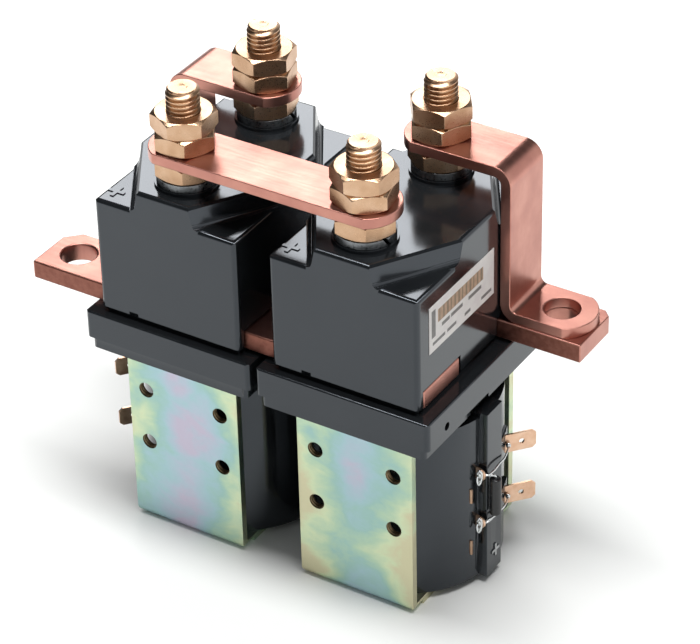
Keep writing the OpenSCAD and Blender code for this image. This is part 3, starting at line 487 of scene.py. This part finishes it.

# %% [markdown]
# ## Bars and straps
# The bars are cut from thick strip. Their long sides are sheared, so they are duller than the rolled faces,
# and those front and back faces are also painted darker as painted shade. Tumbling has rounded the long bar
# more than the short ones. The straps are thinner strip with small round edges.

# %% Bars and straps
SHEARED_SHADED_SIDE_AREA = 40 * MM * MM
for node, width_mm in (("front_bar", 0.6), ("left_back_bar", 0.35), ("right_back_bar", 0.35)):
    piece = softened(node, width_mm, segments=3)
    piece.data.materials.append(finishes["sheared_copper_side_painted_shade"])
    # The broad front and back faces take the sheared finish: dull, and darkened with painted shade
    for face in piece.data.polygons:
        if abs(face.normal.y) > 0.7 and face.area > SHEARED_SHADED_SIDE_AREA:
            face.material_index = 1
for node in ("link_bar", "left_bracket", "right_bracket"):
    softened(node, 0.30, segments=3)

# %% [markdown]
# ## Mouldings
# The covers' and trays' rims are round in the CAD model already, so they only need smooth shading across
# their facets. A small angle keeps the chamfers beside them crisp. On the jackets the long outer edges
# between broad faces get a small moulded radius, and the plus marks on the terminal bars are stamped in
# pale ink.

# %% Covers, trays, coil jackets and terminals
# The plus marks stand further out from the pair's middle than this, mm
MARK_FACE_X = 61.2


def long_outer_edges(length_mm, area_mm2):
    """A filter for convex edges that are long enough and lie between two broad faces."""
    def keep(edge):
        return (edge.is_convex and edge.calc_length() > length_mm * MM
                and min(f.calc_area() for f in edge.link_faces) > area_mm2 * MM * MM)
    return keep


for side in ("left", "right"):
    for node in (side + "_cover", side + "_tray"):
        finished_piece(welded_copy(node), node + "_finished", glass_filled_nylon, nodes=[node],
                       smooth_below=14)
    jacket = softened(side + "_coil_jacket", 0.25, keep=long_outer_edges(30, 100))
    jacket.data.materials.append(finishes["pale_stamping_ink"])
    for face in jacket.data.polygons:
        if abs(face.normal.x) > 0.9 and abs(face.center.x) > MARK_FACE_X * MM:
            face.material_index = 1
    softened(side + "_coil_terminals", 0.1)

# %% [markdown]
# ## Nuts and washers
# A brass nut is a hexagon turned down at both ends, so each corner carries a curved chamfer, and its bore
# is countersunk so that the thread starts cleanly. The CAD nut has the hexagon and the chamfers. The
# bore's rim is bevelled wider than the other edges, which opens the countersink.

# %% Nuts with countersunk bores
def stud_axes():
    """The four studs' axes, in metres, read from the CAD model's boxes."""
    axes = {}
    for name in ("left_front_stud", "left_back_stud", "right_front_stud", "right_back_stud"):
        low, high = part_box(name)
        axes[name] = ((low.x + high.x) / 2, (low.y + high.y) / 2)
    return axes


STUDS = stud_axes()
# A nut's bore lies within the first distance of its stud's axis, and its outside beyond the second
BORE_REACH, OUTSIDE_FROM = 5.1 * MM, 5.5 * MM


def off_axis(point):
    """Distance from a point to the nearest stud's axis."""
    return min(math.hypot(point.x - x, point.y - y) for x, y in STUDS.values())


for node in ("under_nuts", "clamp_nuts", "lock_nuts"):
    bm = welded_copy(node)
    rims = [e for e in sharp_edges(bm, 60) if max(off_axis(v.co) for v in e.verts) < BORE_REACH]
    others = [e for e in sharp_edges(bm, 16) if min(off_axis(v.co) for v in e.verts) > OUTSIDE_FROM]
    bevel(bm, rims, 0.5, 1)
    others = [e for e in others if e.is_valid]
    bevel(bm, others, 0.12, 2)
    finished_piece(bm, node + "_finished", turned_brass, nodes=[node])
    print(node, "rim edges:", len(rims), "other edges:", len(others))
softened("spring_washers", 0.15)

# %% [markdown]
# ## Threads on the terminal studs
# The studs are M10 with a pitch of 1.5 mm. A thread is one small ridge profile carried round the axis
# while it climbs. The spin operator does just that when it is given a rise for each step, and neighbouring
# turns then meet and can be welded. Planes trim the ends, the tip is turned down to a chamfer, and its
# centre is marked.

# %% A threaded rod
PITCH = 1.5 * MM
MAJOR, MINOR = 4.97 * MM, 4.10 * MM
MARK_RADIUS, MARK_DEPTH = 1.6 * MM, 0.35 * MM
STEPS = 40


def threaded_rod(bm, x, y, z0, z1):
    """Adds a rod with a right-hand thread that reaches a little past two heights, with open ends."""
    levels = [(0.0, MINOR), (0.20, MINOR), (0.52, MAJOR), (0.68, MAJOR), (1.0, MINOR)]
    start = z0 - 1.2 * PITCH
    chain = [bm.verts.new((x + r, y, start + t * PITCH)) for t, r in levels]
    edges = [bm.edges.new(pair) for pair in zip(chain, chain[1:])]
    turns = int((z1 - z0) / PITCH) + 3
    bmesh.ops.spin(bm, geom=chain + edges, cent=(x, y, 0), axis=(0, 0, 1), angle=2 * math.pi * turns,
                   steps=STEPS * turns, dvec=(0, 0, PITCH / STEPS), use_merge=False, use_duplicate=False)


def trimmed_thread(x, y, z0, z1, chamfer):
    """A bmesh of a threaded rod with flat ends, and a chamfer and a centre mark at its top."""
    bm = bmesh.new()
    threaded_rod(bm, x, y, z0, z1)
    bmesh.ops.remove_doubles(bm, verts=bm.verts, dist=0.000004)
    cut(bm, (0, 0, z1), (0, 0, 1), dist=0.0000005)
    cut(bm, (0, 0, z0), (0, 0, -1), dist=0.0000005)
    for v in bm.verts:
        out = Vector((v.co.x - x, v.co.y - y, 0))
        allowed = MAJOR - max(0.0, v.co.z - (z1 - chamfer))
        if out.length > allowed:
            v.co -= out.normalized() * (out.length - allowed)
    foot = [e for e in bm.edges if e.is_boundary and e.verts[0].co.z < (z0 + z1) / 2]
    bmesh.ops.holes_fill(bm, edges=foot, sides=0)
    # The top closes in two rings, and the inner one sinks to make the centre mark
    for radius, z in ((MARK_RADIUS, z1), (MARK_RADIUS - 0.5 * MM, z1 - MARK_DEPTH)):
        bmesh.ops.extrude_edge_only(bm, edges=[e for e in bm.edges if e.is_boundary])
        for v in {v for e in bm.edges if e.is_boundary for v in e.verts}:
            out = Vector((v.co.x - x, v.co.y - y, 0)).normalized()
            v.co = Vector((x, y, z)) + out * radius
    bmesh.ops.holes_fill(bm, edges=[e for e in bm.edges if e.is_boundary], sides=0)
    bmesh.ops.recalc_face_normals(bm, faces=bm.faces[:])
    return bm


print("thread depth in mm:", round((MAJOR - MINOR) / MM, 2))

# %% [markdown]
# ## Studs
# Only the end of a stud that stands out of its lock nut shows a thread. The CAD stud is cut off just
# inside the nut and closed, and the threaded rod takes over from there, overlapping it a little where the
# nut hides the joint.

# %% Studs with threaded ends
THREAD_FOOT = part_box("lock_nuts")[1].z - 0.2 * MM
OVERLAP, TIP_CHAMFER = 0.1 * MM, 0.9 * MM
for name, (x, y) in STUDS.items():
    shank = welded_copy(name)
    cut(shank, (0, 0, THREAD_FOOT), (0, 0, 1))
    bmesh.ops.holes_fill(shank, edges=[e for e in shank.edges if e.is_boundary], sides=0)
    top_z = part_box(name)[1].z
    rod = trimmed_thread(x, y, THREAD_FOOT - OVERLAP, top_z, TIP_CHAMFER)
    held = bpy.data.meshes.new("thread")
    rod.to_mesh(held)
    rod.free()
    shank.from_mesh(held)
    piece = finished_piece(shank, name + "_finished", turned_brass, nodes=[name], smooth_below=30)
    print(name, "faces:", len(piece.data.polygons), "top z mm:", round(top_z / MM, 2))

# %% [markdown]
# ## Springs and wires
# A spring, a bent lead and a thread are each a round wire along a path. One function stands a disc at the
# start, and extrudes it from point to point while turning it as little as it can, so the ends are closed.

# %% A round wire along a path
def wire_frames(points):
    """At each point, a frame that looks along the path and turns as little as it can on the way."""
    tangent = (points[1] - points[0]).normalized()
    side = tangent.orthogonal().normalized()
    frames = []
    for i, point in enumerate(points):
        ahead = (points[min(i + 1, len(points) - 1)] - points[max(i - 1, 0)]).normalized()
        side.rotate(tangent.rotation_difference(ahead))
        tangent = ahead
        turned = Matrix((side.cross(tangent), side, tangent)).transposed()
        frames.append(Matrix.Translation(point) @ turned.to_4x4())
    return frames


def swept_wire(bm, points, radius, sides=10):
    """Adds a closed round wire along points."""
    others = set(bm.faces)
    frames = wire_frames(points)
    disc = bmesh.ops.create_circle(bm, cap_ends=True, radius=radius, segments=sides, matrix=frames[0])
    end = disc["verts"][0].link_faces[0]
    for here, there in zip(frames, frames[1:]):
        # The disc's edges are given with it, because only then is the old disc taken out of the wire.
        made = bmesh.ops.extrude_face_region(bm, geom=[end, *end.edges])["geom"]
        end = next(part for part in made if isinstance(part, bmesh.types.BMFace))
        bmesh.ops.transform(bm, matrix=there @ here.inverted(), verts=end.verts)
    bmesh.ops.recalc_face_normals(bm, faces=[f for f in bm.faces if f not in others])


def smooth_path(points, steps=6):
    """Points of a Catmull-Rom curve through given points."""
    padded = [points[0] * 2 - points[1]] + points + [points[-1] * 2 - points[-2]]
    path = []
    for a, b, c, d in zip(padded, padded[1:], padded[2:], padded[3:]):
        for k in range(steps):
            t = k / steps
            path.append(0.5 * (2 * b + (c - a) * t + (2 * a - 5 * b + 4 * c - d) * t * t
                               + (3 * b - a - 3 * c + d) * t * t * t))
    return path + [points[-1]]


corner = [Vector((0, 0, 0)), Vector((1, 0, 0)), Vector((1, 1, 0))]
print("points of a smooth corner:", len(smooth_path(corner)))

# %% [markdown]
# ## Return springs and contact springs
# Both are compression springs with closed ends, so the first and the last turn lie flat. The contact
# spring rides on the moving body. The return spring stands between that body and the cover's roof, and
# here it stays with the housing, not squashed by the plunger's travel.

# %% Return springs and contact springs
POINTS_PER_TURN = 28


def spring_path(node, wire, turns, closed_turns=1.0):
    """The centre line of a compression spring with closed ends that fills a node's box."""
    low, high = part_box(node)
    x, y = (low.x + high.x) / 2, (low.y + high.y) / 2
    radius = (high.y - low.y) / 2 - wire / 2
    rise = high.z - low.z - wire
    dead = wire * 1.06
    open_turns = turns - 2 * closed_turns
    path = []
    for i in range(int(turns * POINTS_PER_TURN) + 1):
        t = i / POINTS_PER_TURN
        if t < closed_turns:
            z = dead * t / closed_turns
        elif t > turns - closed_turns:
            z = rise - dead * (turns - t) / closed_turns
        else:
            z = dead + (rise - 2 * dead) * (t - closed_turns) / open_turns
        angle = 2 * math.pi * t
        across = Vector((math.cos(angle), math.sin(angle), 0)) * radius
        path.append(Vector((x, y, low.z + wire / 2 + z)) + across)
    return path


for side in ("left", "right"):
    for node, wire, turns, body in ((side + "_return_spring", 1.0 * MM, 9, "housing"),
                                    (side + "_contact_spring", 1.1 * MM, 5, side + "_armature")):
        bm = bmesh.new()
        swept_wire(bm, spring_path(node, wire, turns), wire / 2)
        piece = finished_piece(bm, node + "_finished", finishes["spring_steel_oiled"], body, [node],
                               smooth_below=60)
        if body == "housing":
            low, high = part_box(node)
            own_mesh(piece)
        print(node, "wire points:", turns * POINTS_PER_TURN)

# %% [markdown]
# ## Tapped holes in the frames
# Each frame's front plate has four holes tapped M5, with a pitch of 0.8 mm. The plate is only three turns
# thick, and one sees the turns as small brown steps, because a cut thread takes little plating. A round
# wire wound against the wall of the hole, half sunk in it, gives those steps at this size.

# %% Frames with their threads
# Places and sizes in mm, as in the CAD model
HOLE_X, HOLE_Z = (UNIT_X - 13.25, UNIT_X + 13.25), (39 - 9.5, 39 + 9.5)
THREAD_START, THREAD_PITCH, THREAD_TURNS = -29.55, 0.8, 2
THREAD_RADIUS, THREAD_WIRE = 2.62, 0.42
# What lies nearer to a hole's axis than this is its wall or its thread
HOLE_REACH = 2.56


def thread_path(x, z, points_per_turn=24):
    """The centre line of the thread in a hole at (x, z), in metres."""
    path = []
    for i in range(THREAD_TURNS * points_per_turn + 1):
        angle = 2 * math.pi * i / points_per_turn
        y = THREAD_START + THREAD_PITCH * i / points_per_turn
        across = Vector((math.cos(angle), 0, math.sin(angle))) * THREAD_RADIUS
        path.append((Vector((x, y, z)) + across) * MM)
    return path


for node, turn in (("left_yoke", -1), ("right_yoke", 1)):
    bm = welded_copy(node)
    bevel(bm, sharp_edges(bm), 0.18)
    holes = [(turn * x, z) for x in HOLE_X for z in HOLE_Z]
    for x, z in holes:
        swept_wire(bm, thread_path(x, z), THREAD_WIRE * MM)
    for face in bm.faces:
        centre = face.calc_center_median()
        if min(math.hypot(centre.x - x * MM, centre.z - z * MM) for x, z in holes) < HOLE_REACH * MM:
            face.material_index = 1
    piece = finished_piece(bm, node + "_finished", zinc_passivated, nodes=[node])
    piece.data.materials.append(finishes["cut_thread_steel"])
    print(node, "faces:", len(piece.data.polygons))

# %% [markdown]
# ## Suppressor and solder
# A diode with a black epoxy case lies between the coil's solder tabs. Its bright leads bend to the tabs,
# hook through their eyes and end in solder. From each eye a thinner wire runs on over the terminal bar to
# the root of a blade. Places are in a unit's own frame in mm, and the left unit's coil is turned half
# round.

# %% Suppressor diodes
CASE_FOOT, CASE_LENGTH, CASE_RADIUS = 26.4, 13.0, 1.8
CASE_X, CASE_Y = 33.1, -4.9
EYE = (29.35, -7.46)
UPPER_EYE_Z, LOWER_EYE_Z = 41.0, 23.5
BLADE_ROOT = (28.4, 9.0)
UPPER_BLADE_Z, LOWER_BLADE_Z = 41.25, 22.35
LEAD_RADIUS, SECOND_LEAD_RADIUS = 0.38, 0.32


def unit_place(side, x, y, z):
    """A place in a unit's own frame, in mm, as a point of the scene."""
    turn = 1 if side == "right" else -1
    return Vector((turn * (UNIT_X + x), turn * y, z)) * MM


def lathe(bm, axis, profile, steps=36):
    """Adds a solid of revolution about an upright axis; profile is (radius, z) in mm from pole to pole."""
    chain = [bm.verts.new((axis.x + r * MM, axis.y, z * MM)) for r, z in profile]
    edges = [bm.edges.new(pair) for pair in zip(chain, chain[1:])]
    bmesh.ops.spin(bm, geom=chain + edges, cent=axis, axis=(0, 0, 1), angle=2 * math.pi, steps=steps,
                   use_merge=True)
    bmesh.ops.remove_doubles(bm, verts=bm.verts, dist=0.000002)
    bmesh.ops.recalc_face_normals(bm, faces=bm.faces[:])


def rounded_profile(radius, z0, z1, corner, steps=5):
    """Profile of a cylinder with rounded rims, from its lower pole to its upper one."""
    quarter = [math.pi / 2 * k / steps for k in range(steps + 1)]
    lower = [(radius - corner + corner * math.sin(a), z0 + corner - corner * math.cos(a)) for a in quarter]
    upper = [(radius - corner + corner * math.cos(a), z1 - corner + corner * math.sin(a)) for a in quarter]
    return [(0, z0)] + lower + upper + [(0, z1)]


def solder_blob(bm, centre, size_mm):
    """Adds a drop of solder, a ball flattened to its half sizes."""
    made = bmesh.ops.create_icosphere(bm, subdivisions=3, radius=MM)["verts"]
    bmesh.ops.scale(bm, verts=made, vec=size_mm)
    bmesh.ops.translate(bm, verts=made, vec=centre)


for side in ("left", "right"):
    node = side + "_suppressor"
    bm = bmesh.new()
    axis = unit_place(side, CASE_X, CASE_Y, 0)
    lathe(bm, axis, rounded_profile(CASE_RADIUS, CASE_FOOT, CASE_FOOT + CASE_LENGTH, 0.6))
    finished_piece(bm, node + "_case", finishes["diode_epoxy"], nodes=[node])
    bm = bmesh.new()
    for end_z, eye_z, up in ((CASE_FOOT + CASE_LENGTH, UPPER_EYE_Z, 1), (CASE_FOOT, LOWER_EYE_Z, -1)):
        bend_z = end_z + up * 1.1
        path = [(CASE_X, CASE_Y, end_z - up * 0.6), (CASE_X, CASE_Y, end_z + up * 0.4),
                (CASE_X - 0.4, CASE_Y - 0.5, bend_z), (CASE_X - 1.5, CASE_Y - 1.4, (bend_z + eye_z) / 2),
                (EYE[0] + 1.0, EYE[1] + 0.3, eye_z), (EYE[0] - 0.1, EYE[1] - 0.8, eye_z - 0.2),
                (EYE[0] - 0.3, EYE[1] - 1.2, eye_z - 1.6), (EYE[0] + 0.3, EYE[1] - 1.3, eye_z - 2.9),
                (EYE[0] + 0.9, EYE[1] - 1.0, eye_z - 1.4), (EYE[0] + 1.0, EYE[1] - 0.7, eye_z + 0.8),
                (EYE[0] + 0.3, EYE[1] - 1.0, eye_z + 1.9), (EYE[0] - 0.4, EYE[1] - 0.9, eye_z + 0.6)]
        swept_wire(bm, smooth_path([unit_place(side, *p) for p in path]), LEAD_RADIUS * MM)
        solder_blob(bm, unit_place(side, EYE[0] + 0.2, EYE[1] - 0.5, eye_z), (1.1, 0.7, 1.3))
        solder_blob(bm, unit_place(side, EYE[0] + 0.5, EYE[1] - 0.9, eye_z - 2.0), (0.6, 0.5, 0.9))
        # A second lead runs on over the bar's outer face to the root of the blade
        root_z = UPPER_BLADE_Z if up > 0 else LOWER_BLADE_Z
        over_z = bend_z + up * 0.9
        path = [(EYE[0] + 0.4, EYE[1] - 0.3, eye_z), (EYE[0] + 2.2, EYE[1] + 0.4, (eye_z + over_z) / 2),
                (CASE_X - 0.9, CASE_Y + 0.6, over_z), (CASE_X - 1.0, CASE_Y + 4.0, over_z + 0.3 * up),
                (CASE_X - 1.3, CASE_Y + 7.6, (over_z + root_z) / 2),
                (BLADE_ROOT[0] + 1.9, BLADE_ROOT[1] - 1.2, root_z),
                (BLADE_ROOT[0] + 1.2, BLADE_ROOT[1] + 0.6, root_z)]
        swept_wire(bm, smooth_path([unit_place(side, *p) for p in path]), SECOND_LEAD_RADIUS * MM)
        solder_blob(bm, unit_place(side, BLADE_ROOT[0] + 1.3, BLADE_ROOT[1] - 0.2, root_z), (0.8, 0.8, 1.0))
    wires = finished_piece(bm, node + "_leads", finishes["tinned_wire_solder"], nodes=[node],
                           smooth_below=60)
    print(node, "faces of leads and solder:", len(wires.data.polygons))

# %% [markdown]
# ## Label
# The label place is kept generic: a white film with a grey column, a tan band of uneven stripes, and two
# rows of short grey bars. Planes cut the film's outer face along the bars' edges, and each piece is inked
# by its centre.

# %% Label film and its print
# An area: where it starts and ends along the film, then down it, as shares from the upper front corner
COLUMN = (0.035, 0.095, 0.11, 0.70)
BAND = (0.13, 0.83, 0.18, 0.46)
STRIPES = [(BAND[0] + 0.02 + 0.058 * k, BAND[0] + 0.038 + 0.058 * k + 0.006 * (k % 3)) for k in range(12)]
BARS = [(0.19, 0.31, 0.54, 0.62), (0.33, 0.51, 0.54, 0.62), (0.60, 0.80, 0.54, 0.62),
        (0.05, 0.24, 0.80, 0.87), (0.27, 0.41, 0.80, 0.87), (0.54, 0.63, 0.82, 0.89),
        (0.80, 0.96, 0.82, 0.89)]


def label_ink(u, v):
    """Which ink lies at a place on the film: 0 none, 1 grey, 2 tan, 3 dark tan."""
    def inside(area):
        return area[0] < u < area[1] and area[2] < v < area[3]
    if inside(BAND):
        return 3 if any(a < u < b for a, b in STRIPES) else 2
    return 1 if inside(COLUMN) or any(inside(bar) for bar in BARS) else 0


low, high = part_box("label")
length, tall = high.y - low.y, high.z - low.z
bm = welded_copy("label")
areas = [COLUMN, BAND] + BARS
cuts_u = sorted({u for area in areas for u in area[:2]} | {u for stripe in STRIPES for u in stripe})
cuts_v = sorted({v for area in areas for v in area[2:]})
for u in cuts_u:
    cut(bm, (0, low.y + length * u, 0), (0, 1, 0), trim=False)
for v in cuts_v:
    cut(bm, (0, 0, high.z - tall * v), (0, 0, 1), trim=False)
for face in bm.faces:
    centre = face.calc_center_median()
    if face.normal.x > 0.9:
        face.material_index = label_ink((centre.y - low.y) / length, (high.z - centre.z) / tall)
piece = finished_piece(bm, "label_printed", finishes["white_label_film"], nodes=["label"])
for ink in ("grey_label_ink", "tan_label_ink", "dark_tan_label_ink"):
    piece.data.materials.append(finishes[ink])
print("label faces:", len(piece.data.polygons))

# %% Colour transform
bpy.context.scene.view_settings.view_transform = "Standard"
